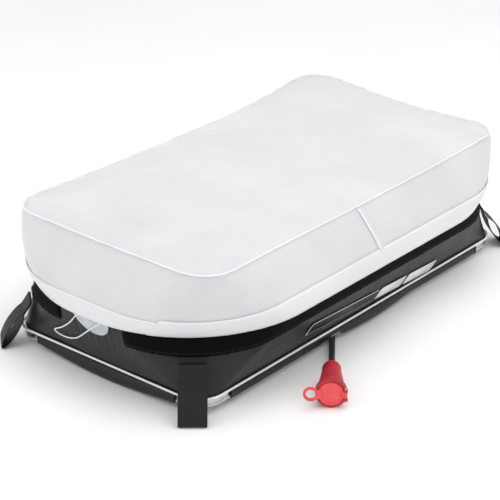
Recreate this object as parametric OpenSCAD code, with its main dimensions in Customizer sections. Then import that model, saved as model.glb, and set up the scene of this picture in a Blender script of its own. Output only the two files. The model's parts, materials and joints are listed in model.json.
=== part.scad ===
// Inflatable area light: a finned-edge aluminium tray with LED boards, a black coated
// fabric base wall, an inner air bladder and a lift-off white diffuser hood.
// Origin: bottom centre of the base. X runs along the length, Y across, Z up.

/* [Base] */
// Length of the base at the piping
base_l = 880; // [720:1:1060]
// Width of the base at the piping
base_w = 450; // [370:1:540]
// Corner radius of the base at the piping
base_r = 45; // [30:1:60]
// How far each side wall leans outwards up to the hem
flare = 35; // [15:1:45]
// Corner radius at the top of the wall
top_r = 240; // [180:1:250]
// Thickness of the coated wall fabric
wall_t = 2; // [1:0.5:3]
// Diameter of the piping cord
piping_d = 4; // [3:0.5:6]

/* [Heights] */
// Underside of the tray
tray_z = 14; // [13:1:24]
// Height of the tray's edge
tray_h = 16; // [12:1:20]
// Lower edge of the hook tape
tape_z = 99; // [90:1:110]
// Lower edge of the hood's hem
hem_z = 133; // [120:1:145]
// Height that the hem overlaps the wall
lap_h = 14; // [10:1:18]
// Height of the rim seam
rim_z = 250; // [220:1:290]

/* [Hood] */
// Overhang of the rim beyond the base at each end
rim_out_l = -7; // [-20:1:30]
// Overhang of the rim beyond the base at each side
rim_out_w = 9; // [0:1:24]
// Corner radius of the rim
rim_r = 64; // [50:1:90]
// Height of the crowned top above the rim
crown_h = 22; // [10:1:40]
// Outward bulge of the hood's sides
bulge = 2; // [0:1:14]
// Thickness of the hood fabric
hood_t = 1.2; // [1:0.1:2]
// Width of the doubled hem
hem_w = 30; // [20:1:40]

/* [Webbing loops] */
// Width of the webbing
web_w = 50; // [40:1:60]
// Length of a hanging loop
loop_len = 104; // [85:1:108]
// Thickness of one layer of webbing
web_t = 1.8; // [1.4:0.1:2.2]
// Height of the stitched end
loop_z = 88; // [84:1:92]

/* [Electrics] */
// Length of an LED board
board_l = 220; // [180:1:225]
// Width of an LED board
board_w = 110; // [90:1:115]
// Height of the posts under the clear cover
post_h = 32; // [30:1:40]

/* [Lead and coupling] */
// Diameter of the supply lead
lead_d = 11; // [10:0.1:11.2]
// Outer radius of the coupling's collar
collar_r = 26.5; // [25.5:0.1:28]
// Radius of the socket recess
socket_r = 19.5; // [18:0.1:20]
// Depth of the socket recess
socket_h = 17.5; // [15:0.5:20]
// Opening angle of the lid, used only to draw it open
lid_open = 0; // [0:1:140]

/* [Hidden] */

$fn = 48;
gap = 0.4;                       // clearance between neighbouring pieces
arc_n = 14;                      // steps in each rounded corner of a lofted ring
wall_z = tray_z + tray_h;        // lower edge of the wall, on the tray's edge
wall_top = hem_z + lap_h;
tape_t = 1.8;                    // thickness of hook tape and of loop tape
hood_off = 2 * tape_t + 3 * gap + hood_t;    // hood's outside from the wall's outside
valve_gap = 150;                 // stretch of tape left out around the valve
valve_y = -7;                    // place of the valve along the end wall
valve_z = hem_z + 4;
valve_r = 42;                    // welded tab around the valve
cap_r = 12;
tray_wall = 3;
tray_floor = 3;
board_t = 1.6;
board_pitch_x = board_l + 20;
driver_size = [180, 60, 28];
screw_r = 1.5;
floor_z = tray_z + tray_floor;   // top of the tray's floor
cover_z = floor_z + post_h + gap;
cover_t = 3;
lead_dir = [-0.8, -0.6, 0];      // way the lead leaves, level with the ground
lead_angle = 216.87;             // the same direction as an angle from +X
inlet_at = [-45, -base_w / 2 + 35, 7.2];
coupling_back = 284;             // inlet face to the coupling's front face
// route of the lead from the inlet, as distance along lead_dir and height
lead_route = [[0, 7.2], [30, 7.4], [60, 8.5], [90, 11.5], [120, 16], [150, 21.5], [180, 26], [205, 26.5]];
tether_r = 1.2;
// route of the cap's tether along the wall, as place across the end and height
tether_route = [[8, 137], [18, 132], [31, 121], [52, 100], [78, 80], [97, 69], [103, 64], [97, 59],
    [84, 57], [68, 59], [50, 66], [32, 79], [14, 94], [-6, 110], [-24, 124], [-36, 133]];

function lerp(a, b, t) = a + (b - a) * t;
function wall_share(z) = min(1, (z - wall_z) / (hem_z - wall_z));
function wall_l(z) = base_l + 2 * flare * wall_share(z);
function wall_w(z) = base_w + 2 * flare * wall_share(z);
function wall_r(z) = lerp(base_r, min(top_r, base_w / 2 + flare - 10), wall_share(z));

// closed ring of points around a rounded rectangle, anticlockwise from above
function ring(l, w, r, z) = [for (q = [0:3]) for (i = [0:arc_n])
    let (a = 90 * q + 90 * i / arc_n,
        cx = (q == 0 || q == 3 ? 1 : -1) * (l / 2 - r),
        cy = (q < 2 ? 1 : -1) * (w / 2 - r))
    [cx + r * cos(a), cy + r * sin(a), z]];
function wall_ring(z, off) = ring(wall_l(z) + 2 * off, wall_w(z) + 2 * off, wall_r(z) + off, z);

// the same ring left open by a gap in the middle of the -X end
function open_ring(z, off, opening) =
    let (l = wall_l(z) + 2 * off, w = wall_w(z) + 2 * off, r = wall_r(z) + off, s = w / 2 - r,
        cut = opening / 2 > s ? asin((opening / 2 - s) / r) : 0)
    [for (q = [2, 3, 0, 1]) for (i = [0:arc_n])
        let (a = lerp(90 * q + (q == 2 ? cut : 0), 90 * q + 90 - (q == 1 ? cut : 0), i / arc_n),
            cx = (q == 0 || q == 3 ? 1 : -1) * (l / 2 - r),
            cy = (q < 2 ? 1 : -1) * s)
        [cx + r * cos(a), cy + r * sin(a), z]];

// hood ring: t runs from the hem (0) to the rim (1); the hood stands upright past the tape
lap_share = (lap_h + 1) / (rim_z - hem_z);
function hood_z(t) = lerp(hem_z, rim_z, t);
function hood_ring(t, off) = let (f = pow(max(0, t - lap_share) / (1 - lap_share), 1.2), b = 2 * bulge * sin(180 * t) + 2 * off)
    ring(lerp(wall_l(hem_z) + 2 * hood_off, base_l + 2 * rim_out_l, f) + b,
        lerp(wall_w(hem_z) + 2 * hood_off, base_w + 2 * rim_out_w, f) + b,
        lerp(wall_r(hem_z) + hood_off, rim_r, t) + off, hood_z(t));
crown_steps = [8, 20, 40, 70, 110, 160, 205];
function crown_ring(d, off) = let (w = base_w + 2 * rim_out_w - 2 * d,
        s = 1 - d / (base_w / 2 + rim_out_w))
    ring(base_l + 2 * rim_out_l - 2 * d, w, min(max(rim_r - 0.4 * d, 10), w / 2 - 1),
        rim_z + crown_h * (1 - s * s) + off);
hem_share = hem_w / (rim_z - hem_z);
hood_steps = [0, hem_share / 2, hem_share, 0.45, 0.65, 0.85, 1];

// skin over a list of rings: open at neither end, or a closed loop of rings
module loft(rings, loop = false) {
    n = len(rings[0]);
    k = len(rings);
    polyhedron(points = [for (r = rings) each r], faces = concat(
        [for (j = [0:k - (loop ? 1 : 2)]) for (i = [0:n - 1])
            let (a = j * n, b = ((j + 1) % k) * n, m = (i + 1) % n)
            each [[a + i, b + i, b + m], [a + i, b + m, a + m]]],
        loop ? [] : [[for (i = [0:n - 1]) i], [for (i = [n - 1:-1:0]) (k - 1) * n + i]]));
}

// tube of radius r along points, with flat ends
function unit(v) = v / norm(v);
module tube(path, r, sides = 8) {
    n = len(path);
    loft([for (i = [0:n - 1])
        let (t = unit(path[min(i + 1, n - 1)] - path[max(i - 1, 0)]),
            u = unit(cross(t, [0, 0, 1])), v = cross(u, t))
        [for (s = [0:sides - 1]) path[i] + r * (cos(360 * s / sides) * v + sin(360 * s / sides) * u)]]);
}
// points eased between the route's own points
function smooth(p, steps) = [for (i = [0:len(p) - 2]) for (s = [0:steps - 1])
    let (t = s / steps, a = p[max(i - 1, 0)], b = p[i], c = p[i + 1], d = p[min(i + 2, len(p) - 1)])
    0.5 * ((2 * b) + (c - a) * t + (2 * a - 5 * b + 4 * c - d) * t * t + (3 * b - a - 3 * c + d) * t * t * t)];

module rounded(l, w, r) {
    square([l - 2 * r, w], center = true);
    square([l, w - 2 * r], center = true);
    for (x = [-1, 1]) for (y = [-1, 1]) translate([x * (l / 2 - r), y * (w / 2 - r)]) circle(r);
}
module plate(l, w, r, z0, z1) {
    translate([0, 0, z0]) linear_extrude(z1 - z0) rounded(l, w, r);
}
module at_boards() {
    for (i = [0:5]) translate([(i % 3 - 1) * board_pitch_x, (i < 3 ? -1 : 1) * 105, floor_z]) children();
}
board_screw_at = [for (x = [-1, 1]) for (y = [-1, 1]) [x * (board_l / 2 - 7), y * (board_w / 2 - 7)]];
post_at = [for (x = [-1, 0, 1]) for (y = [-1, 1]) [x * (base_l / 2 - 55), y * (base_w / 2 - 42)]];

// ---- base ----
module heat_sink_tray() {
    color("silver") difference() {
        union() {
            plate(base_l, base_w, base_r, tray_z, tray_z + 3.5);
            plate(base_l - 4, base_w - 4, base_r - 2, tray_z, wall_z);
            plate(base_l, base_w, base_r, wall_z - 3.5, wall_z);
        }
        plate(base_l - 2 * tray_wall - 4, base_w - 2 * tray_wall - 4, base_r - tray_wall - 2, floor_z, wall_z + 1);
        at_boards() for (p = board_screw_at) translate([p.x, p.y, -tray_floor - 1]) cylinder(r = screw_r + 0.1, h = 10);
        translate([-20, -base_w / 2 + 47, tray_z - 1]) cylinder(r = 6, h = 10);
    }
}
module edge_piping() {
    r = piping_d / 2;
    off = r + 0.2;
    cx = base_l / 2 - base_r;
    cy = base_w / 2 - base_r;
    color("white") translate([0, 0, wall_z + 0.2]) {
        for (x = [-1, 1]) for (y = [-1, 1]) translate([x * cx, y * cy, 0])
            rotate([0, 0, x > 0 ? (y > 0 ? 0 : 270) : (y > 0 ? 90 : 180)])
            rotate_extrude(angle = 90) translate([base_r + off, 0]) circle(r, $fn = 16);
        for (y = [-1, 1]) translate([-cx, y * (base_w / 2 + off), 0]) rotate([0, 90, 0]) cylinder(r = r, h = 2 * cx, $fn = 16);
        for (x = [-1, 1]) translate([x * (base_l / 2 + off), -cy, 0]) rotate([-90, 0, 0]) cylinder(r = r, h = 2 * cy, $fn = 16);
    }
}
wall_levels = [wall_z + 0.2, 50, 75, tape_z, hem_z, wall_top];
module base_wall() {
    color("#1c1c1e") difference() {
        loft(concat([for (z = wall_levels) wall_ring(z, 0)],
            [for (i = [len(wall_levels) - 1:-1:0]) wall_ring(wall_levels[i], -wall_t)]), loop = true);
        valve_place(-20) cylinder(r = 10.4, h = 30);
    }
}
// pieces on the end wall are drawn upright at the valve, z outwards from the wall
module valve_place(off) {
    translate([-wall_l(hem_z) / 2 - off, valve_y, valve_z]) rotate([0, -90, 0]) children();
}
// strip that follows the wall at heights zs, between two offsets, open at the valve
module wall_strip(zs, off0, off1) {
    outer = [for (z = zs) open_ring(z, off1, valve_gap)];
    inner = [for (i = [len(zs) - 1:-1:0]) open_ring(zs[i], off0, valve_gap)];
    stack = concat(outer, inner);
    loft([for (i = [0:len(stack[0]) - 1]) [for (s = stack) s[i]]]);
}
module hook_tape() {
    levels = concat([for (i = [0:4]) lerp(tape_z, hem_z, i / 4)], [wall_top]);
    color("#0c0c0d") wall_strip(levels, 0.65, 0.2 + tape_t);
}

// skirt below the piping on one side: half is half its length, low its deepest edge
// notch is where the supply lead passes under it, if it does
module flap(half, low, shallow, out, back, mid, spread, notch = 1000) {
    steps = round(half / 9);
    loft([for (i = [0:steps])
        let (s = lerp(half, -half, i / steps),
            k = abs(s - mid) < spread ? pow(cos(90 * (s - mid) / spread), 1.2) : 0,
            o = out * k, top = wall_z - 3,
            zb = abs(s - notch) < 22 ? notch_z : lerp(shallow, low, k),
            in = abs(s - notch) < 45 ? 0.6 : -back)
        [[s, 0.6, top], [s, 2.2, top], [s, 2.6 + o, (top + zb) / 2], [s, 1.8 + 0.6 * o, zb],
            [s, in, zb], [s, in, zb + 1.4], [s, 0.4 + 0.5 * o, zb + 1.4], [s, 1 + o, (top + zb) / 2]]]);
}
notch_z = 17;
end_half = base_w / 2 - 62;
side_half = base_l / 2 - 70;
module under_flap_left() {
    color("#17171a") translate([-base_l / 2, 0, 0]) rotate([0, 0, 90]) flap(end_half, 0.6, 11, 6, 30, 0, end_half);
}
module under_flap_right() {
    color("#17171a") translate([base_l / 2, 0, 0]) rotate([0, 0, -90]) flap(end_half, 0.6, 11, 6, 30, 0, end_half);
}
module under_flap_front() {
    color("#17171a") translate([0, -base_w / 2, 0]) rotate([0, 0, 180])
        flap(side_half, 6, 11.5, 5, 4, -20, 130, -inlet_at.x + 49.5);
}
module under_flap_back() {
    color("#17171a") translate([0, base_w / 2, 0]) flap(side_half, 6, 11.5, 5, 4, 0, 130);
}
module belly_pad() { color("#202022") plate(560, 260, 30, 0, tray_z - 0.2); }
module corner_rivets() {
    color("#2a2a2c") for (x = [-1, 1]) for (y = [-1, 1])
        translate([x * (base_l / 2 + gap), y * (base_w / 2 - base_r - 4), tray_z + 8]) rotate([0, x * 90, 0])
            cylinder(r1 = 4, r2 = 2.6, h = 3.2);
}
module label(x0, x1, z0, tall) {
    lean = atan(flare / (hem_z - wall_z));
    translate([0, -wall_w(z0) / 2 - 0.3, z0]) rotate([90 + lean, 0, 0])
        linear_extrude(0.5) polygon([[x0, 0], [x1, -(x1 - x0) * 0.055], [x1 + 14, tall - (x1 - x0) * 0.055], [x0 + 14, tall]]);
}
module label_panel_1() { color("#101012") label(-186, 14, 58, 20); }
module label_panel_2() { color("white") label(22, 104, 47, 20); }
module label_panel_3() { color("#d8d8da") label(112, 204, 42, 20); }

// ---- inside the base ----
module led_board(i) {
    color("white") translate([(i % 3 - 1) * board_pitch_x, (i < 3 ? -1 : 1) * 105, floor_z + 0.05]) difference() {
        translate([-board_l / 2, -board_w / 2, 0]) cube([board_l, board_w, board_t]);
        for (p = board_screw_at) translate([p.x, p.y, -1]) cylinder(r = screw_r + 0.2, h = 5);
    }
}
module led_board_1() { led_board(0); }
module led_board_2() { led_board(1); }
module led_board_3() { led_board(2); }
module led_board_4() { led_board(3); }
module led_board_5() { led_board(4); }
module led_board_6() { led_board(5); }
module led_emitters() {
    color("gold") at_boards() for (x = [-2:2]) for (y = [-1:1])
        translate([x * board_l / 6 - 2.5, y * board_w / 4 - 2.5, board_t + 0.1]) cube([5, 5, 1.2]);
}
module board_screws() {
    color("gray") at_boards() for (p = board_screw_at) translate([p.x, p.y, 0]) {
        translate([0, 0, board_t + 0.1]) cylinder(r = 2.8, h = 1.6);
        translate([0, 0, -2.5]) cylinder(r = screw_r, h = board_t + 2.7);
    }
}
module driver(x) {
    color("gainsboro") translate([x - driver_size.x / 2, -driver_size.y / 2, floor_z + 0.1]) difference() {
        cube(driver_size);
        for (i = [1:8]) translate([-1, i * driver_size.y / 9 - 1, driver_size.z - 3]) cube([driver_size.x + 2, 2, 4]);
    }
}
module driver_1() { driver(-160); }
module driver_2() { driver(160); }
module terminal_box() {
    color("dimgray") translate([-28, -28, floor_z + 0.1]) difference() {
        cube([56, 56, 24]);
        translate([2.5, 2.5, 2.5]) cube([51, 51, 30]);
        translate([-1, 10, 9]) rotate([0, 90, 0]) cylinder(r = 3.6, h = 10);
    }
}
module terminal_lid() { color("gray") translate([-28, -28, floor_z + 24.4]) cube([56, 56, 2.5]); }
module mains_tail() {
    y0 = -base_w / 2 + 47;
    color("black") tube(smooth([[-20, y0, floor_z + 3], [-45, y0, floor_z + 6], [-90, y0, floor_z + 6],
        [-118, y0 + 20, floor_z + 6], [-120, y0 + 60, floor_z + 6], [-120, -75, floor_z + 6],
        [-112, -48, floor_z + 7], [-80, -41, floor_z + 9], [-50, -30, floor_z + 9], [-34, -18, floor_z + 9], [-22, -18, floor_z + 9]], 3), 3, 8);
}
module output_wires() {
    color("firebrick") for (x = [-1, 1]) for (y = [-1, 1])
        tube(smooth([[x * 252, y * 12, floor_z + 12], [x * 262, y * 16, floor_z + 11], [x * 268, y * 30, floor_z + 8],
            [x * 266, y * 46, floor_z + 5], [x * 262, y * 58, floor_z + 4.2]], 3), 1.4, 8);
}
module cover_posts() {
    color("silver") for (p = post_at) translate([p.x, p.y, floor_z + 0.1]) difference() {
        cylinder(r = 5, h = post_h);
        translate([0, 0, post_h - 16]) cylinder(r = 2.1, h = 20);
    }
}
module clear_cover() {
    color("lightcyan", 0.4) difference() {
        plate(base_l - 70, base_w - 56, 30, cover_z, cover_z + cover_t);
        for (p = post_at) translate([p.x, p.y, cover_z - 1]) cylinder(r = 2.3, h = 10);
    }
}
module cover_screws() {
    color("gray") for (p = post_at) translate([p.x, p.y, cover_z + cover_t + 0.1]) {
        cylinder(r = 4, h = 2.2);
        translate([0, 0, -14]) cylinder(r = 2, h = 14.2);
    }
}
bladder_in = 34;                 // bladder's side to the wall's outside at the hem
module air_bladder() {
    l = wall_l(hem_z) - 2 * bladder_in + 18;
    w = wall_w(hem_z) - 2 * bladder_in + 14;
    r = w / 2 - 8;
    z0 = cover_z + cover_t + 5;
    z1 = rim_z - 8;
    color("#e9eef2", 0.6) loft([ring(l - 60, w - 60, r - 30, z0), ring(l - 18, w - 18, r - 9, z0 + 14),
        ring(l, w, r, z0 + 50), ring(l, w, r, z1 - 40), ring(l - 22, w - 22, r - 11, z1 - 10),
        ring(l - 50, w - 50, r - 25, z1 + 2), ring(l - 150, w - 150, r - 75, z1 + crown_h * 0.5),
        ring(l - 330, w - 330, r - 165, z1 + crown_h * 0.8)]);
}

// ---- valve ----
module valve_tab() {
    lean = atan(flare / (hem_z - wall_z));
    color("#c3c8cc", 0.9) difference() {
        union() {
            intersection() {
                valve_place(0.6) cylinder(r = valve_r, h = 1);
                translate([-wall_l(hem_z), -100, hem_z]) cube([wall_l(hem_z), 200, lap_h - 1]);
            }
            translate([-wall_l(hem_z) / 2 - 0.6, valve_y, hem_z]) rotate([0, -90 - lean, 0]) intersection() {
                translate([valve_z - hem_z, 0, 0]) cylinder(r = valve_r, h = 1);
                translate([-80, -100, -1]) cube([80.2, 200, 3]);
            }
        }
        valve_place(-20) cylinder(r = 10.4, h = 30);
    }
}
module valve_body() {
    color("#9da3a8") valve_place(-12) difference() {
        cylinder(r = 10, h = 13.4);
        translate([0, 0, 1.5]) cylinder(r = 7, h = 20);
        cylinder(r = 3, h = 10, center = true);
    }
}
module valve_cap() {
    color("#d6dadd") valve_place(1.9) {
        cylinder(r = cap_r, h = 1);
        translate([-cap_r + 2, -1.5, 0.5]) cube([2 * cap_r - 4, 3, 1.2]);
    }
}
function tether_at(p) = [-wall_l(p.y) / 2 - 1.8 - tether_r, p.x, p.y];
module valve_tether() {
    color("white") tube(smooth([for (p = tether_route) tether_at(p) + [wall_corner(p.x, p.y), 0, 0]], 4), tether_r, 8);
}
// how far the end wall has turned away at y, round its corner
function wall_corner(y, z) = let (r = wall_r(z), s = wall_w(z) / 2 - r) y > s ? (r - sqrt(r * r - (y - s) * (y - s))) : 0;

// ---- webbing loops: the stitched end is on the corner, the loop hangs outwards ----
loop_turn = 40;                  // plan angle of a corner's outward direction
function loop_sx(i) = i == 1 || i == 4 ? 1 : -1;
function loop_sy(i) = i < 3 ? 1 : -1;
function loop_dir(i) = [loop_sx(i) * cos(loop_turn), loop_sy(i) * sin(loop_turn), 0];
function loop_base(i, z, off) = let (r = wall_r(z))
    [loop_sx(i) * (wall_l(z) / 2 - r), loop_sy(i) * (wall_w(z) / 2 - r), z] + (r + off) * loop_dir(i);
module at_loop(i, z, off) {
    d = loop_dir(i);
    translate(loop_base(i, z, off)) rotate([0, 0, atan2(d.y, d.x)]) children();
}
drop = 57;                       // slope of a hanging loop
function loop_half(p) = web_t + 0.2 + 7 * pow(sin(180 * min(1, max(0, (p - 28) / (loop_len - 28)))), 0.7);
module webbing_loop(i) {
    ps = [for (p = [0:4:loop_len - 4]) p];
    qs = [for (p = [36:4:loop_len - 4]) p];
    color("#3b3836") at_loop(i, loop_z, 3.2) rotate([90, 0, 0]) rotate([0, 0, -drop])
        linear_extrude(web_w, center = true) difference() {
            polygon(concat([for (p = ps) [p, loop_half(p)]], [[loop_len, 1.2], [loop_len, -1.2]],
                [for (k = [len(ps) - 1:-1:0]) [ps[k], -loop_half(ps[k])]]));
            polygon(concat([[32, 0]], [for (p = qs) [p, loop_half(p) - web_t]],
                [for (k = [len(qs) - 1:-1:0]) [qs[k], -loop_half(qs[k]) + web_t]]));
        }
}
module webbing_loop_1() { webbing_loop(1); }
module webbing_loop_2() { webbing_loop(2); }
module webbing_loop_3() { webbing_loop(3); }
module webbing_loop_4() { webbing_loop(4); }
module loop_patches() {
    color("#2c2a29") for (i = [1:4]) at_loop(i, loop_z + 7.4, 2) rotate([0, -16, 0])
        translate([-1.5, -web_w / 2, -3]) cube([2, web_w, 6]);
}

// ---- hood ----
module hood_shell() {
    color("#f2f3f5") difference() {
        loft(concat([for (t = hood_steps) hood_ring(t, 0)], [for (d = crown_steps) crown_ring(d, 0)]));
        loft(concat([[for (p = hood_ring(0, -hood_t)) p - [0, 0, 1]]], [for (t = hood_steps) if (t > 0) hood_ring(t, -hood_t)],
            [for (d = crown_steps) crown_ring(d + hood_t, -hood_t)]));
    }
}
module hem_band() {
    steps = [0, hem_share / 2, hem_share];
    color("white") loft(concat([for (t = steps) hood_ring(t, 1.4)], [for (k = [2:-1:0]) hood_ring(steps[k], 0.2)]), loop = true);
}
module loop_tape() { color("#e4e5e7") wall_strip([hem_z, hem_z + lap_h], 0.2 + tape_t + gap, 0.2 + 2 * tape_t + gap); }
module rim_seam() {
    color("white") loft([hood_rim(2.6, -1.5), hood_rim(2.6, 1.5), hood_rim(0.3, 1.5), hood_rim(0.3, -1.5)],
        loop = true);
}
function hood_rim(off, dz) = dz < 0 ? hood_ring(1 + dz / (rim_z - hem_z), off)
    : [for (p = hood_ring(1, off)) p + [0, 0, dz]];
module side_seam() {
    steps = [hem_share + 0.04, 0.45, 0.65, 0.85, 0.97];
    color("#f7f8fa") loft([for (t = steps) let (y = hood_ring(t, 0.6)[3 * arc_n + 2][1], x = lerp(8, -40, t), z = hood_z(t))
        [[x - 8, y, z], [x - 8, y - 0.9, z], [x + 8, y - 0.9, z], [x + 8, y, z]]]);
}

// ---- supply lead and coupling ----
function lead_point(t) = inlet_at + t * lead_dir;
module power_lead() {
    color("#161616") tube(smooth([for (p = lead_route) [inlet_at.x, inlet_at.y, 0] + p.x * lead_dir + [0, 0, p.y]], 2), lead_d / 2, 12);
}
module inlet_box() {
    color("#1f1f21") translate([inlet_at.x, inlet_at.y, 0]) rotate([0, 0, lead_angle]) difference() {
        translate([-52, -26, 0.5]) cube([51.6, 52, tray_z - 0.9]);
        translate([-49.5, -23.5, 2.5]) cube([46.5, 47, tray_z - 5]);
    }
}
module lead_gland() {
    color("#1a1a1a") translate(inlet_at) rotate([0, 90, lead_angle]) difference() {
        cylinder(r = lead_d / 2 + 1, h = 20);
        translate([0, 0, -1]) cylinder(r = lead_d / 2 + 0.2, h = 40);
    }
}
// drawn with the socket's mouth at z = 0, looking out along +Z; -X is up
module coupling_place() {
    translate([inlet_at.x, inlet_at.y, collar_r] + coupling_back * lead_dir) rotate([0, 90, lead_angle]) children();
}
lid_r = collar_r - 5.2;
recess = 4;                      // depth of the lid's seat
pin_y = collar_r - 2.2;
pin_z = 3.4;
nut_z = -72;
module coupling_body() {
    color("#c02030") coupling_place() {
        difference() {
            rotate_extrude($fn = 64) polygon([[0, -68], [13, -68], [13, nut_z], [17, nut_z], [18, -60], [collar_r - 4, -24],
                [collar_r - 3.5, -14], [collar_r, -12], [collar_r, -1], [collar_r - 1, 0], [0, 0]]);
            translate([0, 0, -recess]) cylinder(r = lid_r + 0.5, h = 10, $fn = 64);
            translate([0, 0, -recess - socket_h]) cylinder(r = socket_r, h = 60, $fn = 64);
            translate([0, 0, -recess - socket_h - 3]) cylinder(r = socket_r + 0.8, h = 3, $fn = 64);
            translate([0, 0, -44]) cylinder(r = min(socket_r, collar_r - 7) - 1, h = 30, $fn = 64);
            translate([0, 0, -80]) cylinder(r = 9, h = 60);
        }
        for (x = [-10.5, 6.5]) difference() {
            translate([x, pin_y - 3.2, -0.5]) cube([4, 6.4, pin_z + 3]);
            translate([x - 1, pin_y, pin_z]) rotate([0, 90, 0]) cylinder(r = 1.25, h = 6);
        }
    }
}
module coupling_nut() {
    color("#a81a28") coupling_place() rotate_extrude() polygon([[lead_d / 2 + 0.2, nut_z - gap], [16.5, nut_z - gap],
        [16.5, -84], [14, -91], [9, -96], [lead_d / 2 + 0.2, -97]]);
}
module contact_insert() {
    color("#8f1722") coupling_place() difference() {
        translate([0, 0, -40]) cylinder(r = min(socket_r, collar_r - 7) - 1.2, h = 40 - recess - socket_h - 3.2);
        for (y = [-9.5, 9.5]) translate([0, y, -50]) cylinder(r = 3.3, h = 60);
        for (x = [-1, 1]) translate([x * 16.4 - 0.8, -2.3, -50]) cube([1.6, 4.6, 60]);
    }
}
module contact_tubes() {
    color("gold") coupling_place() for (y = [-9.5, 9.5]) translate([0, y, -39]) difference() {
        cylinder(r = 3.1, h = 14);
        translate([0, 0, 1]) cylinder(r = 2.45, h = 20);
    }
}
module earth_clips() {
    color("silver") coupling_place() for (x = [-1, 1]) translate([x * 16.4 - 0.5, -2, -38]) cube([1, 4, 12.8]);
}
module hinge_pin() {
    color("silver") coupling_place() translate([-13, pin_y, pin_z]) rotate([0, 90, 0]) cylinder(r = 1.2, h = 26);
}
module lid_spring() {
    color("lightgray") coupling_place() for (x = [-12.6, 10.8]) translate([x, pin_y, pin_z]) rotate([0, 90, 0]) difference() {
        cylinder(r = 2.3, h = 1.8);
        translate([0, 0, -1]) cylinder(r = 1.4, h = 4);
    }
}
ring_y = lid_r + 12.5;
module coupling_lid() {
    color("#e84c4e") coupling_place() translate([0, pin_y, pin_z]) rotate([lid_open, 0, 0]) translate([0, -pin_y, -pin_z]) {
        translate([0, 0, -recess + 1.2]) cylinder(r = lid_r, h = recess + 0.3, $fn = 64);
        translate([0, 0, 1]) cylinder(r1 = lid_r - 3, r2 = lid_r - 6, h = 1.2, $fn = 64);
        difference() {
            union() {
                translate([-5.5, lid_r - 4, 0.6]) cube([11, pin_y - lid_r + 4, 3]);
                translate([-5.5, pin_y, pin_z]) rotate([0, 90, 0]) cylinder(r = 2.6, h = 11);
            }
            translate([-10, pin_y, pin_z]) rotate([0, 90, 0]) cylinder(r = 1.25, h = 20);
        }
        translate([0, 0, 0.6]) linear_extrude(3.2) difference() {
            union() {
                translate([0, -ring_y]) circle(13);
                translate([-8, -ring_y + 4]) square([16, 14]);
            }
            translate([0, -ring_y]) circle(8.6);
        }
    }
}
module lid_gasket() {
    color("#2b2b2b") coupling_place() translate([0, 0, -recess + 0.2]) difference() {
        cylinder(r = lid_r - 0.6, h = 0.9);
        translate([0, 0, -1]) cylinder(r = socket_r - 3, h = 5);
    }
}

heat_sink_tray();
edge_piping();
base_wall();
hook_tape();
under_flap_left();
under_flap_right();
under_flap_front();
under_flap_back();
belly_pad();
corner_rivets();
led_board_1();
led_board_2();
led_board_3();
led_board_4();
led_board_5();
led_board_6();
led_emitters();
board_screws();
driver_1();
driver_2();
terminal_box();
terminal_lid();
mains_tail();
output_wires();
cover_posts();
clear_cover();
cover_screws();
air_bladder();
valve_tab();
valve_body();
valve_tether();
valve_cap();
label_panel_1();
label_panel_2();
label_panel_3();
loop_patches();
inlet_box();
lead_gland();
power_lead();
coupling_body();
coupling_nut();
contact_insert();
contact_tubes();
earth_clips();
hinge_pin();
lid_spring();
coupling_lid();
lid_gasket();
hood_shell();
hem_band();
loop_tape();
side_seam();
rim_seam();
webbing_loop_1();
webbing_loop_2();
webbing_loop_3();
webbing_loop_4();
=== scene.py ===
# %% [markdown]
# # An inflatable area light
# The object is a low air-filled light: a white fabric hood over a black coated fabric base,
# with an aluminium tray underneath, webbing loops at the corners and a red mains coupling on
# a short lead. The hard pieces arrive as fixed nodes. The soft ones are made here from the
# same few sizes, measured on those nodes, so that nothing has to be fitted by eye.

# %% Load the frame
import json
import math
import bpy
import numpy as np
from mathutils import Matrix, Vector, noise


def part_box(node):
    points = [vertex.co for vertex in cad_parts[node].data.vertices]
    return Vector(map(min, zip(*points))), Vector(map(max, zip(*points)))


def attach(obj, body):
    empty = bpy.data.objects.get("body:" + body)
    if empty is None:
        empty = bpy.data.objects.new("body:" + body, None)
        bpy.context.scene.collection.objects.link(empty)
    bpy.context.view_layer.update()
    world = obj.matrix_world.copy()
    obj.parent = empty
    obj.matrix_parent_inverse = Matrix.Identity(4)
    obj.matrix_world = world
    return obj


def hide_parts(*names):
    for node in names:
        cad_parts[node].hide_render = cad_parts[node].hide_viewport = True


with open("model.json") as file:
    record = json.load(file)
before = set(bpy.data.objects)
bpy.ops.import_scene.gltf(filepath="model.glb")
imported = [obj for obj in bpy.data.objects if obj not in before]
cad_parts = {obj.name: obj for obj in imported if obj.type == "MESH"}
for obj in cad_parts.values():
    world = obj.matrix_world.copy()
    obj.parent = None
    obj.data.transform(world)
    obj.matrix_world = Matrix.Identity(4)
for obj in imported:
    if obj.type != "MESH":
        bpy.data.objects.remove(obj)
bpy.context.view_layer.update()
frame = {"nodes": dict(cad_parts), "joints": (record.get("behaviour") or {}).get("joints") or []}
NODES = frame["nodes"]
MM = 0.001
print("frame holds", len(NODES), "nodes")

# %% [markdown]
# ## Camera
# A long lens keeps the sides of the base nearly parallel. The camera is placed by an angle
# round the object, an angle above the ground and a distance from one aimed point.

# %% Camera
AIM = Vector((-0.0486, 0.0019, 0.100))
CAMERA_TURN, CAMERA_RISE, CAMERA_DISTANCE, LENS = -50.1, 25.2, 3.151, 122.4


def direction(turn, rise):
    a, e = math.radians(turn), math.radians(rise)
    return Vector((math.sin(a) * math.cos(e), -math.cos(a) * math.cos(e), math.sin(e)))


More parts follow.
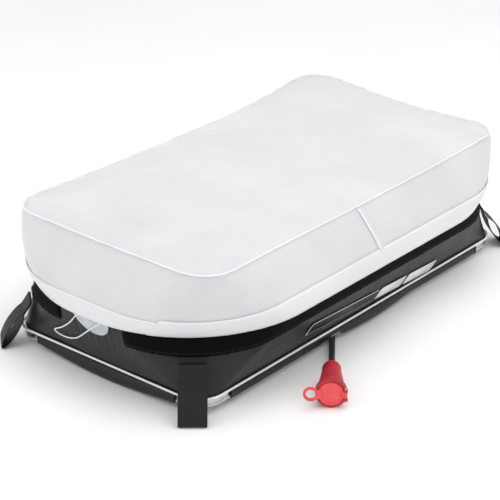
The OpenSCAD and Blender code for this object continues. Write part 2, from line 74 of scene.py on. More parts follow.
camera = bpy.data.objects.new("camera", bpy.data.cameras.new("camera"))
camera.data.lens = LENS
camera.data.sensor_width = 36
camera.location = AIM + direction(CAMERA_TURN, CAMERA_RISE) * CAMERA_DISTANCE
camera.rotation_mode = "QUATERNION"
camera.rotation_quaternion = (-direction(CAMERA_TURN, CAMERA_RISE)).to_track_quat("-Z", "Y")
bpy.context.scene.collection.objects.link(camera)
bpy.context.scene.camera = camera

# %% [markdown]
# ## Measures
# The tray's box gives the base, the wall's box gives the hem, and the rim seam's box gives
# the rim's height. The rim's length and width and the corner radii are stated here.

# %% Measures from the frame
tray_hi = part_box("heat_sink_tray")[1]
wall_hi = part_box("base_wall")[1]
tape_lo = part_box("hook_tape")[0]
hem_lo, hem_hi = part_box("hem_band")
seam_lo, seam_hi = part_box("rim_seam")
hood_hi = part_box("hood_shell")[1]
BASE_L, BASE_W = 2 * tray_hi[0], 2 * tray_hi[1]
TOP_L, TOP_W = 2 * wall_hi[0], 2 * wall_hi[1]
RIM_L, RIM_W = 866 * MM, 468 * MM
WALL_Z, WALL_TOP, TAPE_Z, HEM_Z, HEM_TOP = tray_hi[2], wall_hi[2], tape_lo[2], hem_lo[2], hem_hi[2]
RIM_Z = (seam_lo[2] + seam_hi[2]) / 2
CROWN = hood_hi[2] - RIM_Z
BASE_R, TOP_R, RIM_R = 45 * MM, 240 * MM, 64 * MM
HOOD_OFF = 6 * MM
BULGE = 2 * MM
UPRIGHT = (WALL_TOP + 1 * MM - HEM_Z) / (RIM_Z - HEM_Z)  # the hood stands straight up past the tape
print("base %.0f x %.0f mm, rim at %.0f mm" % (BASE_L / MM, BASE_W / MM, RIM_Z / MM))

# %% [markdown]
# ## Rounded rings
# Wall, tapes, hem and hood are all stacks of rounded rectangles. A ring keeps the same
# number of points on each corner and each side, so stacked rings join point to point. The
# second value returned is the way outwards at each point, for bulges and folds.

# %% Rings and skins
ARC, LONG, SHORT = 26, 64, 34


def ring(length, width, radius, z):
    points, ways = [], []
    for q in range(4):
        cx = (1 if q in (0, 3) else -1) * (length / 2 - radius)
        cy = (1 if q < 2 else -1) * (width / 2 - radius)
        for i in range(ARC):
            a = math.radians(90 * q + 90 * i / ARC)
            points.append((cx + radius * math.cos(a), cy + radius * math.sin(a), z))
            ways.append((math.cos(a), math.sin(a), 0))
        a = math.radians(90 * (q + 1))
        span = (length if q % 2 == 0 else width) - 2 * radius
        steps = LONG if q % 2 == 0 else SHORT
        along = (-math.sin(a), math.cos(a), 0)
        start = (cx + radius * math.cos(a), cy + radius * math.sin(a))
        for i in range(steps):
            d = span * i / steps
            points.append((start[0] + along[0] * d, start[1] + along[1] * d, z))
            ways.append((math.cos(a), math.sin(a), 0))
    return np.array(points), np.array(ways)


def wall_size(z, off=0.0):
    """Length, width and corner radius of the wall at a height."""
    h = min(1.0, (z - WALL_Z) / (HEM_Z - WALL_Z))
    length, width = BASE_L + (TOP_L - BASE_L) * h, BASE_W + (TOP_W - BASE_W) * h
    return length + 2 * off, width + 2 * off, BASE_R + (TOP_R - BASE_R) * h + off


def wall_ring(z, off=0.0):
    return ring(*wall_size(z, off), z)


def open_ring(z, off, half_opening):
    """The wall's ring left open in the middle of the -X end, as a plain list of points."""
    length, width, radius = wall_size(z, off)
    straight = width / 2 - radius
    cut = math.degrees(math.asin((half_opening - straight) / radius)) if half_opening > straight else 0.0
    points = []
    for q in (2, 3, 0, 1):
        first, last = 90 * q + (cut if q == 2 else 0), 90 * q + 90 - (cut if q == 1 else 0)
        cx = (1 if q in (0, 3) else -1) * (length / 2 - radius)
        cy = (1 if q < 2 else -1) * straight
        for i in range(ARC + 1):
            a = math.radians(first + (last - first) * i / ARC)
            points.append(np.array((cx + radius * math.cos(a), cy + radius * math.sin(a), z)))
        if q in (2, 0):
            end, span = points[-1], (1 if q == 2 else -1) * (length - 2 * radius)
            points += [end + np.array((span * i / LONG, 0, 0)) for i in range(1, LONG)]
    return points


def hood_ring(t, off=0.0):
    f, b = max(0.0, (t - UPRIGHT) / (1 - UPRIGHT)) ** 1.2, 2 * BULGE * math.sin(math.pi * t) + 2 * off
    length = TOP_L + 2 * HOOD_OFF + (RIM_L - TOP_L - 2 * HOOD_OFF) * f + b
    width = TOP_W + 2 * HOOD_OFF + (RIM_W - TOP_W - 2 * HOOD_OFF) * f + b
    radius = TOP_R + HOOD_OFF + (RIM_R - TOP_R - HOOD_OFF) * t + off
    return ring(length, width, radius, HEM_Z + (RIM_Z - HEM_Z) * t)


def skin(name, rings, tip=None, closed=True):
    """A sheet of quads over stacked rings, with an optional last point that closes the top."""
    n = len(rings[0])
    verts = [tuple(p) for r in rings for p in r]
    faces = []
    for j in range(len(rings) - 1):
        for i in range(n if closed else n - 1):
            k = (i + 1) % n
            faces.append((j * n + i, j * n + k, (j + 1) * n + k, (j + 1) * n + i))
    if tip is not None:
        verts.append(tuple(tip))
        base = (len(rings) - 1) * n
        faces += [(base + i, base + (i + 1) % n, len(verts) - 1) for i in range(n)]
    return new_mesh(name, verts, faces)


def new_mesh(name, verts, faces, edges=()):
    mesh = bpy.data.meshes.new(name)
    mesh.from_pydata(verts, edges, faces)
    mesh.validate()
    piece = bpy.data.objects.new(name, mesh)
    bpy.context.scene.collection.objects.link(piece)
    for polygon in mesh.polygons:
        polygon.use_smooth = True
    return piece


def bake(piece):
    """Turns the piece's modifiers into plain mesh."""
    view = bpy.context.evaluated_depsgraph_get()
    mesh = bpy.data.meshes.new_from_object(piece.evaluated_get(view))
    piece.modifiers.clear()
    piece.data = mesh
    return piece


def thicken(piece, thickness, offset=-1.0, levels=0):
    solid = piece.modifiers.new("thickness", "SOLIDIFY")
    solid.thickness, solid.offset = thickness, offset
    if levels:
        rounder = piece.modifiers.new("round", "SUBSURF")
        rounder.levels = rounder.render_levels = levels
    return bake(piece)


def place(piece, body, material, stands_for=()):
    piece.data.materials.clear()
    piece.data.materials.append(material)
    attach(piece, body)
    if stands_for:
        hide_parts(*stands_for)
    return piece


# %% [markdown]
# ## Material helper
# One function adds a node, sets it and links it. A second builds the common finish: a
# colour that drifts between two close tones, a roughness and a bump at a real grain size.

# %% Material helpers
METRE = 1000.0  # millimetres in a metre, for pattern scales


def linear(hex6, alpha=1.0):
    parts = [int(hex6[i:i + 2], 16) / 255 for i in (1, 3, 5)]
    return tuple(c / 12.92 if c <= 0.04045 else ((c + 0.055) / 1.055) ** 2.4 for c in parts) + (alpha,)


def add(material, kind, settings=None, inputs=None):
    node = material.node_tree.nodes.new(kind)
    for key, value in (settings or {}).items():
        setattr(node, key, value)
    for key, value in (inputs or {}).items():
        if isinstance(value, bpy.types.NodeSocket):
            material.node_tree.links.new(value, node.inputs[key])
        else:
            node.inputs[key].default_value = value
    return node


def start(name):
    material = bpy.data.materials.new(name)
    material.use_nodes = True
    material.node_tree.nodes.clear()
    where = add(material, "ShaderNodeTexCoord")
    return material, where


def drift(material, where, tone_a, tone_b, patch_mm, detail=4.0):
    cloud = add(material, "ShaderNodeTexNoise", inputs={
        "Vector": where, "Scale": METRE / patch_mm, "Detail": detail, "Roughness": 0.55})
    ramp = add(material, "ShaderNodeValToRGB", inputs={"Fac": cloud.outputs["Fac"]})
    ramp.color_ramp.elements[0].position, ramp.color_ramp.elements[1].position = 0.35, 0.65
    ramp.color_ramp.elements[0].color, ramp.color_ramp.elements[1].color = linear(tone_a), linear(tone_b)
    return ramp.outputs["Color"]


def spread(material, where, low, high, patch_mm):
    cloud = add(material, "ShaderNodeTexNoise", inputs={
        "Vector": where, "Scale": METRE / patch_mm, "Detail": 3.0})
    span = add(material, "ShaderNodeMapRange", inputs={
        "Value": cloud.outputs["Fac"], "To Min": low, "To Max": high})
    return span.outputs["Result"]


def close(material, colour, rough, height=None, depth_mm=0.1, **shader):
    values = {"Base Color": colour, "Roughness": rough}
    values.update({key.replace("_", " "): value for key, value in shader.items()})
    if height is not None:
        bump = add(material, "ShaderNodeBump", inputs={
            "Height": height, "Strength": 1.0, "Distance": depth_mm * MM})
        values["Normal"] = bump.outputs["Normal"]
    skin_shader = add(material, "ShaderNodeBsdfPrincipled", inputs=values)
    add(material, "ShaderNodeOutputMaterial", inputs={"Surface": skin_shader.outputs["BSDF"]})
    return material


def grain(material, where, size_mm, detail=3.0, stretch=(1, 1, 1)):
    turned = add(material, "ShaderNodeMapping", inputs={"Vector": where, "Scale": stretch})
    cloud = add(material, "ShaderNodeTexNoise", inputs={
        "Vector": turned.outputs["Vector"], "Scale": METRE / size_mm, "Detail": detail})
    return cloud.outputs["Fac"]


def weave(material, where, thread_mm, axes=("X", "Z")):
    """Two crossed sets of threads, as a height from 0 to 1."""
    sets = [add(material, "ShaderNodeTexWave", settings={"bands_direction": axis, "wave_profile": "SIN"},
                inputs={"Vector": where, "Scale": METRE / thread_mm / 20, "Distortion": 0.4,
                        "Detail": 1.0}).outputs["Fac"] for axis in axes]
    both = add(material, "ShaderNodeMath", settings={"operation": "MULTIPLY"})
    for i, height in enumerate(sets):
        material.node_tree.links.new(height, both.inputs[i])
    return both.outputs["Value"]


def folds_and_threads(material, folds, share, threads):
    """Large folds added to a weave, as one height."""
    return add(material, "ShaderNodeMath", settings={"operation": "MULTIPLY_ADD"},
               inputs={0: folds, 1: share, 2: threads}).outputs["Value"]


# %% [markdown]
# ## Finishes
# Each is named for what the real one is. The two fabrics matter most: the hood is a thin
# coated nylon that lets light through, and a faint painted glow keeps it pale in its own shade;
# the base is a thick polyester coated in soft PVC, which shows broad dull highlights on black.

# %% Fabric finishes
def simple(name, tone_a, tone_b, patch_mm, low, high, grain_mm, depth_mm, **shader):
    material, coords = start(name)
    where = coords.outputs["Object"]
    return close(material, drift(material, where, tone_a, tone_b, patch_mm),
                 spread(material, where, low, high, patch_mm / 2),
                 grain(material, where, grain_mm), depth_mm, **shader)


def coated_nylon(name, tone_a, tone_b, painted_glow):
    """PU-coated ripstop nylon: fine crossed threads under a thin film, softly translucent, with a faint
    painted glow that lifts it in shade.
    """
    material, coords = start(name)
    where = coords.outputs["Object"]
    threads = weave(material, where, 3.0)
    folds = grain(material, where, 55.0, 2.0)
    # The emission here is painted light: a faint glow that keeps the pale fabric bright in its own shade.
    return close(material, drift(material, where, tone_a, tone_b, 160.0),
                 spread(material, where, 0.42, 0.58, 90.0),
                 folds_and_threads(material, folds, 9.0, threads), 0.10,
                 Sheen_Weight=0.15, Subsurface_Weight=0.25, Subsurface_Scale=0.02,
                 Subsurface_Radius=(1.0, 1.0, 1.0), Emission_Color=linear("#f3f4f8"), Emission_Strength=painted_glow)


def coated_polyester():
    """PVC-coated polyester: a faint basket weave under a soft, half-gloss black skin."""
    material, coords = start("pvc_coated_polyester")
    where = coords.outputs["Object"]
    threads = weave(material, where, 2.4)
    creases = grain(material, where, 28.0, 3.0, (1, 1, 0.5))
    return close(material, drift(material, where, "#0c0c0e", "#151517", 70.0),
                 spread(material, where, 0.30, 0.48, 40.0),
                 folds_and_threads(material, creases, 5.0, threads), 0.14, Specular_IOR_Level=0.4)


def hook_pile():
    """Moulded nylon hooks: a dense stubble that swallows light."""
    material, coords = start("nylon_hook_tape")
    where = coords.outputs["Object"]
    cells = add(material, "ShaderNodeTexVoronoi", inputs={"Vector": where, "Scale": METRE / 1.8})
    return close(material, drift(material, where, "#030304", "#070708", 6.0), 0.95,
                 cells.outputs["Distance"], 0.5, Specular_IOR_Level=0.15)


def polyester_webbing():
    """Woven webbing: chevron ribs across the tape, on the piece's own UV map in millimetres, with painted
    shade in the weave's hollows and a painted highlight on its ribs.
    """
    material, coords = start("polyester_webbing")
    where = coords.outputs["UV"]
    ribs = add(material, "ShaderNodeTexWave", settings={"bands_direction": "DIAGONAL", "wave_profile": "TRI"},
               inputs={"Vector": where, "Scale": 26.0, "Distortion": 0.6})
    cross = add(material, "ShaderNodeTexWave", settings={"bands_direction": "X", "wave_profile": "SIN"},
                inputs={"Vector": where, "Scale": 20.0})
    height = add(material, "ShaderNodeMath", settings={"operation": "MULTIPLY"},
                 inputs={0: ribs.outputs["Fac"], 1: cross.outputs["Fac"]})
    # Painted shade and highlight: the colour follows the weave's height, dark in its hollows and lighter on
    # its raised ribs.
    tone = add(material, "ShaderNodeMix", settings={"data_type": "RGBA"}, inputs={0: height.outputs["Value"]})
    tone.inputs[6].default_value, tone.inputs[7].default_value = linear("#100f0e"), linear("#262421")
    return close(material, tone.outputs[2], 0.55, height.outputs["Value"], 0.35, Specular_IOR_Level=0.3)


# The last value of each is a painted glow, emission that lifts the hood and the hem in their shade.
hood_fabric = coated_nylon("translucent_coated_nylon", "#e0e0e3", "#e8e9eb", 0.03)
hem_fabric = coated_nylon("doubled_nylon_hem", "#e9eaec", "#f1f1f3", 0.04)
wall_fabric = coated_polyester()
hook_fabric = hook_pile()
web_fabric = polyester_webbing()
pile_fabric = simple("knitted_loop_pile", "#d9dadd", "#e6e7ea", 5.0, 0.85, 0.95, 1.2, 0.6, Sheen_Weight=0.5)
cord_fabric = simple("braided_white_cord", "#e6e6e8", "#f8f8fa", 3.0, 0.6, 0.75, 1.0, 0.25)

# %% Metal, rubber and plastic finishes
def brushed(name, tone_a, tone_b, low, high):
    """Metal sheet with its rolling lines along X."""
    material, coords = start(name)
    where = coords.outputs["Object"]
    lines = grain(material, where, 2.0, 2.0, (0.04, 1, 1))
    return close(material, drift(material, where, tone_a, tone_b, 45.0),
                 spread(material, where, low, high, 20.0), lines, 0.06, Metallic=1.0)


aluminium = brushed("mill_finish_aluminium", "#c9cccf", "#e6e8ea", 0.22, 0.38)
steel = brushed("stainless_steel", "#b9bbbd", "#d5d6d8", 0.16, 0.28)
brass = brushed("turned_brass", "#c79a45", "#dcb668", 0.2, 0.3)
driver_case = brushed("clear_anodised_extrusion", "#b4b7bb", "#c8cacd", 0.3, 0.45)
piping_pvc = simple("extruded_white_pvc", "#e9e9ec", "#f7f7f9", 20.0, 0.3, 0.42, 1.5, 0.05)
red_rubber = simple("moulded_red_rubber", "#a81c2a", "#bd2836", 25.0, 0.40, 0.55, 0.9, 0.08,
                    Specular_IOR_Level=0.5)
red_plastic = simple("moulded_red_pvc_lid", "#e6474a", "#ee5557", 18.0, 0.38, 0.5, 0.8, 0.05)
black_rubber = simple("black_rubber_sheath", "#101011", "#1b1b1d", 12.0, 0.42, 0.55, 0.8, 0.06)
black_plastic = simple("moulded_black_nylon", "#161618", "#1f1f22", 14.0, 0.45, 0.6, 0.7, 0.08)
foam_cover = simple("foam_backed_canvas", "#1d1d1f", "#28282a", 22.0, 0.8, 0.92, 1.4, 0.3)
board_mask = simple("white_solder_mask", "#e4e8e4", "#eef1ee", 9.0, 0.35, 0.45, 0.6, 0.03)
phosphor = simple("yellow_phosphor_gel", "#e8b73a", "#f4ce62", 2.0, 0.25, 0.35, 0.6, 0.02)
valve_film = simple("welded_grey_tpu", "#b4babd", "#c6cbce", 24.0, 0.3, 0.42, 9.0, 0.5, Coat_Weight=0.3)
label_black = simple("printed_black_film", "#0b0b0d", "#121215", 30.0, 0.28, 0.36, 2.0, 0.03)
label_white = simple("printed_white_film", "#dcdcdf", "#ececef", 30.0, 0.3, 0.4, 2.0, 0.03)
red_wire = simple("silicone_wire", "#8e1a1c", "#a52224", 8.0, 0.4, 0.5, 1.0, 0.04)


def clear_sheet(name, tone, rough, weight):
    material, coords = start(name)
    where = coords.outputs["Object"]
    return close(material, linear(tone), spread(material, where, rough, rough + 0.1, 60.0),
                 grain(material, where, 30.0), 0.15, Transmission_Weight=weight, IOR=1.5)


polycarbonate = clear_sheet("clear_polycarbonate", "#f2f6f7", 0.05, 0.95)
bladder_film = clear_sheet("tpu_bladder_film", "#e6ecef", 0.22, 0.35)

CAD_FINISH = {
    "heat_sink_tray": aluminium, "edge_piping": piping_pvc, "belly_pad": foam_cover,
    "corner_rivets": black_plastic, "led_emitters": phosphor, "board_screws": steel,
    "terminal_box": black_plastic, "terminal_lid": black_plastic, "mains_tail": black_rubber,
    "output_wires": red_wire, "cover_posts": aluminium, "clear_cover": polycarbonate,
    "cover_screws": steel, "valve_tab": valve_film, "valve_body": valve_film, "valve_cap": valve_film,
    "inlet_box": black_plastic, "lead_gland": black_plastic, "coupling_body": red_rubber,
    "coupling_nut": red_rubber, "contact_insert": red_rubber, "contact_tubes": brass,
    "earth_clips": steel, "hinge_pin": steel, "lid_spring": steel, "coupling_lid": red_plastic,
    "lid_gasket": black_rubber, "loop_tape": pile_fabric, "side_seam": hem_fabric,
    "driver_1": driver_case, "driver_2": driver_case, "loop_patches": web_fabric}
CAD_FINISH.update({"led_board_%d" % i: board_mask for i in range(1, 7)})
for node_name, finish in CAD_FINISH.items():
    mesh = NODES[node_name].data
    mesh.materials.clear()
    mesh.materials.append(finish)
print("finished", len(CAD_FINISH), "frame nodes")

# %% [markdown]
# ## Cords
# Two cords lie free. The supply lead is stiff rubber, so it rises to the coupling in one
# slow curve. The tether is thin and limp and hangs against the end wall in a loop. Each is
# a smooth curve through the same points as its solid.

# %% Supply lead and tether
LEAD_START, LEAD_WAY = Vector((-45, -190, 0)), Vector((-0.8, -0.6, 0))
LEAD_ROUTE = [(0, 7.2), (30, 7.4), (60, 8.5), (90, 11.5), (120, 16), (150, 21.5), (180, 26), (205, 26.5)]
TETHER_ROUTE = [(8, 137), (18, 132), (31, 121), (52, 100), (78, 80), (97, 69), (103, 64), (97, 59),
                (84, 57), (68, 59), (50, 66), (32, 79), (14, 94), (-6, 110), (-24, 124), (-36, 133)]
TETHER_LIFT = 3.0  # millimetres from the wall to the tether's middle


def eased(points, steps):
    """Points on a smooth curve through the given ones."""
    out = []
    for i in range(len(points) - 1):
        a, b, c, d = (points[max(i - 1, 0)], points[i], points[i + 1], points[min(i + 2, len(points) - 1)])
        for s in range(steps):
            t = s / steps
            out.append(0.5 * ((2 * b) + (c - a) * t + (2 * a - 5 * b + 4 * c - d) * t * t
                              + (3 * b - a - 3 * c + d) * t ** 3))
    return out + [points[-1]]


def end_wall_x(y_mm, z_mm):
    """Outside of the -X end wall at a place, following its rounded corner, in millimetres."""
    h = min(1.0, (z_mm * MM - WALL_Z) / (HEM_Z - WALL_Z))
    half_l, half_w = (BASE_L + (TOP_L - BASE_L) * h) / 2, (BASE_W + (TOP_W - BASE_W) * h) / 2
    radius = BASE_R + (TOP_R - BASE_R) * h
    over = max(0.0, abs(y_mm) * MM - (half_w - radius))
    return (-half_l + radius - math.sqrt(radius * radius - over * over)) / MM


def cord_curve(name, points, diameter):
    curve = bpy.data.curves.new(name, "CURVE")
    curve.dimensions, curve.bevel_depth, curve.bevel_resolution = "3D", diameter / 2, 4
    curve.use_fill_caps = True
    spline = curve.splines.new("POLY")
    spline.points.add(len(points) - 1)
    for spot, point in zip(spline.points, points):
        spot.co = (*(point * MM), 1)
    spline.use_smooth = True
    piece = bpy.data.objects.new(name, curve)
    bpy.context.scene.collection.objects.link(piece)
    return piece


def path_length(points):
    return sum((b - a).length for a, b in zip(points, points[1:])) * MM


lead_points = eased([LEAD_START + LEAD_WAY * s + Vector((0, 0, z)) for s, z in LEAD_ROUTE], 4)
lead = cord_curve("supply_lead", lead_points, 11 * MM)
lead.data.materials.append(black_rubber)
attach(lead, "root")
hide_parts("power_lead")

tether_points = eased([Vector((end_wall_x(y, z) - TETHER_LIFT, y, z)) for y, z in TETHER_ROUTE], 4)
tether = cord_curve("cap_tether", tether_points, 2.4 * MM)
tether.data.materials.append(cord_fabric)
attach(tether, "root")
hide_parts("valve_tether")
print("lead %.0f mm, tether %.0f mm" % (path_length(lead_points) / MM, path_length(tether_points) / MM))

# %% [markdown]
# ## Hood
# The hood is one inflated skin: sides that lean and round off into the rim, and a crowned
# top. The sides are stacked rings, the top shrinks the rim towards the middle, and its
# height is one smooth formula. Short wrinkles run across the rim, strongest at the corners,
# as they do where a tight seam gathers a curved panel. Air pressure then rounds the panels.

# %% Hood shape
SIDE_LEVELS = [i / 26 for i in range(27)]
TOP_SHRINK = [1 - i / 34 for i in range(1, 34)]


def pucker(point, reach, size, seed):
    """Small fold height at a point of the rim, from layered noise."""
    spot = Vector((point[0] * 46, point[1] * 46, seed))
    fine = Vector((point[0] * 110, point[1] * 110, seed + 7))
    return (noise.noise(spot) + 0.5 * noise.noise(fine)) * size * reach


PEAKS = ((1, 1, 22), (1, -1, 8), (-1, 1, 6))  # corners pulled up by the air, and by how many mm


def corner_lift(x, y):
    """Height added near the rim's corners."""
    lift = 0.0
    for side_x, side_y, peak_mm in PEAKS:
        from_corner = (x - side_x * RIM_L / 2) ** 2 + (y - side_y * RIM_W / 2) ** 2
        lift += peak_mm * MM * math.exp(-from_corner / 0.030)
    return lift


def crown_height(x, y):
    a, b = abs(2 * x / RIM_L), abs(2 * y / RIM_W)
    dome = (1 - a ** 5) * (1 - b ** 2.6)
    end_dip = 0.45 * math.exp(-((x + RIM_L / 2 - 0.075) / 0.05) ** 2)
    return (CROWN - 2 * MM) * max(0.0, dome - end_dip * (1 - b * b))


def corner_share(point):
    """1 at the rim's corners, 0 along its sides."""
    dx, dy = RIM_L / 2 - abs(point[0]), RIM_W / 2 - abs(point[1])
    return math.exp(-(dx * dx + dy * dy) / 0.018)


hood_rings = []
for t in SIDE_LEVELS:
    points, ways = hood_ring(t, -1.0 * MM)
    moved = []
    for p, w in zip(points, ways):
        reach = math.exp(-((1 - t) / 0.16) ** 2) * (0.35 + 1.2 * corner_share(p)) + 0.15
        shift = pucker(p, reach, 3.4 * MM, 3.0) - 0.9 * MM * reach
        rim_round = -3.5 * MM * max(0.0, (t - 0.86) / 0.14) ** 2
        moved.append(p + w * (shift + rim_round) + np.array((0, 0, corner_lift(p[0], p[1]) * t ** 3)))
    hood_rings.append(moved)
rim_points = np.array(hood_rings[-1])
for s in TOP_SHRINK:
    level = []
    for p in rim_points:
        x, y = p[0] * s, p[1] * s
        reach = math.exp(-((1 - s) / 0.10) ** 2) * (0.4 + 1.4 * corner_share(p))
        fold = pucker((x, y), reach, 3.0 * MM, 11.0)
        level.append((x, y, RIM_Z + crown_height(x, y) + corner_lift(x, y) + fold))
    hood_rings.append(level)
hood = skin("hood_cover", hood_rings, tip=(0, 0, RIM_Z + crown_height(0, 0) + corner_lift(0, 0)))
print("hood cover", len(hood.data.vertices), "points")

# %% [markdown]
# The cover is sewn down at the hem and the rim, so those rings are pinned while the cloth
# is blown up. The shift of each point is capped, which keeps the panels inside their size.

# %% Blow up the hood
CLOTH_FRAMES, CLOTH_CAP = 14, 5 * MM


def inflate(piece, pinned, pressure, cap):
    rest = np.array([v.co[:] for v in piece.data.vertices])
    group = piece.vertex_groups.new(name="sewn")
    for index, weight in pinned.items():
        group.add([index], weight, "REPLACE")
    cloth = piece.modifiers.new("air", "CLOTH")
    cloth.settings.vertex_group_mass = "sewn"
    cloth.settings.use_pressure = True
    cloth.settings.uniform_pressure_force = pressure
    cloth.settings.quality = 6
    cloth.settings.mass = 0.25
    cloth.settings.bending_stiffness = 1.5
    cloth.settings.effector_weights.gravity = 0
    cloth.point_cache.frame_start, cloth.point_cache.frame_end = 1, CLOTH_FRAMES
    for number in range(1, CLOTH_FRAMES + 1):
        bpy.context.scene.frame_set(number)
    bake(piece)
    piece.vertex_groups.clear()
    blown = np.array([v.co[:] for v in piece.data.vertices])
    move = blown - rest
    far = np.maximum(np.linalg.norm(move, axis=1, keepdims=True), 1e-9)
    kept = rest + move * np.minimum(1.0, cap / far)
    piece.data.vertices.foreach_set("co", kept.ravel())
    piece.data.update()
    bpy.context.scene.frame_set(1)
    print(piece.name, "moved at most %.1f mm" % (float(far.max()) / MM))


ring_size = len(rim_points)
sewn = {i: 1.0 for i in range(ring_size * 6)}
rim_start = (len(SIDE_LEVELS) - 1) * ring_size
sewn.update({i: 0.8 for i in range(rim_start, rim_start + ring_size)})
inflate(hood, sewn, 0.6, CLOTH_CAP)
thicken(hood, 1.0 * MM)
for polygon in hood.data.polygons:
    polygon.use_smooth = True
place(hood, "hood", hood_fabric, ("hood_shell",))

# %% [markdown]
# ## Seams and hem
# The rim seam is a folded fabric edge, so it wavers slightly. The hem is a second layer
# sewn round the bottom. A third layer covers it along the front: it starts in a step near
# a front corner and ends in another, halfway along the far short end.

# %% Rim seam and hem
def tube_ring(name, points, radius, sides=8):
    """A closed cord along a ring of points."""
    centre = np.array(points)
    n = len(centre)
    tangent = np.roll(centre, -1, axis=0) - np.roll(centre, 1, axis=0)
    tangent /= np.linalg.norm(tangent, axis=1, keepdims=True)
    side = np.cross(tangent, (0, 0, 1))
    side /= np.linalg.norm(side, axis=1, keepdims=True)
    up = np.cross(side, tangent)
    verts, faces = [], []
    for i in range(n):
        for k in range(sides):
            a = 2 * math.pi * k / sides
            verts.append(tuple(centre[i] + radius * (math.cos(a) * side[i] + math.sin(a) * up[i])))
    for i in range(n):
        for k in range(sides):
            j, m = (i + 1) % n, (k + 1) % sides
            faces.append((i * sides + k, j * sides + k, j * sides + m, i * sides + m))
    return new_mesh(name, verts, faces)


seam_line, seam_ways = hood_ring(1.0, 0.0)
rim_edge = []
for p, w in zip(seam_line, seam_ways):
    inwards = -2.6 * MM + pucker(p, 0.5 + corner_share(p), 1.2 * MM, 5.0)
    upwards = 0.6 * MM + corner_lift(p[0], p[1]) + pucker(p, 0.8, 0.8 * MM, 9.0)
    rim_edge.append(p + w * inwards + np.array((0, 0, upwards)))
rim_cord = tube_ring("rim_seam_cord", rim_edge, 1.4 * MM)
place(rim_cord, "hood", hem_fabric, ("rim_seam",))


def side_strip():
    """The gathered seam down the long side, leaning towards the rim's near end."""
    rings = []
    for i in range(25):
        t = 0.28 + 0.70 * i / 24
        y = hood_ring(t, 1.0 * MM)[0][:, 1].min() - 0.6 * MM * math.sin(t * 40) ** 2
        x, half, z = (8 - 48 * t) * MM, (6 - 3.5 * t) * MM, HEM_Z + (RIM_Z - HEM_Z) * t
        rings.append([np.array((x + half * u, y - 0.8 * MM * (1 - u * u), z))
                      for u in (-1, -0.6, -0.2, 0.2, 0.6, 1)])
    return thicken(skin("side_gather", rings, closed=False), 0.6 * MM)


place(side_strip(), "hood", hem_fabric, ("side_seam",))

HEM_SHARE = (HEM_TOP - HEM_Z) / (RIM_Z - HEM_Z)
HEM_LAP_AT = int(2 * ARC + LONG + SHORT + 0.30 * ARC)  # ring place of the third layer's start
HEM_LAP_POINTS = 130  # its length in ring places


def hem_layer(name, lift, first, count, low, high):
    """A strip of cloth on the hood's foot, count ring places long, between two shares of the hem."""
    rings = []
    for t in [low + (high - low) * i / 8 for i in range(9)]:
        points, ways = hood_ring(t * HEM_SHARE, lift)
        wave = [p + w * (0.5 * MM * noise.noise(Vector((p[0] * 30, p[1] * 30, t * 2))))
                for p, w in zip(points, ways)]
        rings.append([wave[(first + i) % len(wave)] for i in range(count)])
    layer = skin(name, rings, closed=count == len(seam_line))
    return thicken(layer, 0.7 * MM, offset=1.0)


hem = hem_layer("hem_tape", 0.3 * MM, 0, len(seam_line), 0.0, 1.0)
place(hem, "hood", hem_fabric, ("hem_band",))
lap = hem_layer("hem_overlap", 1.1 * MM, HEM_LAP_AT, HEM_LAP_POINTS, -0.02, 1.18)
place(lap, "hood", hem_fabric)

# %% [markdown]
# ## Base wall
# The wall is heavy coated cloth. It is drawn tight at the corners and swells a little
# between them, tucks in at the piping, and puckers upright beside the valve, where no tape
# stiffens its edge. All of that is added to the plain stacked rings.

# %% Wall
VALVE_Y = -7 * MM


def wall_shift(p, h):
    swell = 2.5 * MM * math.sin(math.pi * min(1.0, h)) * (1 - corner_share(p)) - 1.5 * MM
    near_valve = math.exp(-((p[1] - VALVE_Y) / 0.075) ** 4) if p[0] < -0.3 else 0.0
    pleats = -abs(math.sin(p[1] * 190 + 0.6)) ** 3 * 3.2 * MM * near_valve * min(1.0, h * 1.6)
    sag = 1.4 * MM * noise.noise(Vector((p[0] * 14, p[1] * 14, h * 3)))
    return swell * (1 - near_valve) + pleats + sag * math.sin(math.pi * min(1.0, h))


wall_rings = []
for i in range(27):
    z = WALL_Z + 0.4 * MM + (WALL_TOP - WALL_Z - 1 * MM) * i / 26
    h = (z - WALL_Z) / (HEM_Z - WALL_Z)
    points, ways = wall_ring(z, -0.4 * MM)
    wall_rings.append([p + w * wall_shift(p, h) for p, w in zip(points, ways)])
wall = thicken(skin("wall_cloth", wall_rings), 1.4 * MM)
place(wall, "root", wall_fabric, ("base_wall",))

# %% [markdown]
# ## Hook tape
# The tape is a flat band with an opening for the valve. Its cut lower edge is ragged with
# loose hooks. The band is a strip, and a small Geometry Nodes tree scatters the hooks.

# %% Hook tape band
VALVE_HALF = 75 * MM


def tape_band(name, z0, z1, lift, steps=6):
    rings = [open_ring(z0 + (z1 - z0) * i / steps, lift, VALVE_HALF) for i in range(steps + 1)]
    return skin(name, rings, closed=False)


tape = thicken(tape_band("hook_band", TAPE_Z, WALL_TOP - 0.5 * MM, 0.4 * MM), 1.2 * MM, offset=1.0)
place(tape, "root", hook_fabric, ("hook_tape",))


# %% Geometry Nodes helpers
def new_tree(name, inputs):
    tree = bpy.data.node_groups.new(name, "GeometryNodeTree")
    tree.interface.new_socket("Geometry", in_out="INPUT", socket_type="NodeSocketGeometry")
    for label, kind in inputs:
        tree.interface.new_socket(label, in_out="INPUT", socket_type=kind)
    tree.interface.new_socket("Geometry", in_out="OUTPUT", socket_type="NodeSocketGeometry")
    return tree, tree.nodes.new("NodeGroupInput"), tree.nodes.new("NodeGroupOutput")


def wire(tree, pairs):
    for out_socket, in_socket in pairs:
        tree.links.new(out_socket, in_socket)


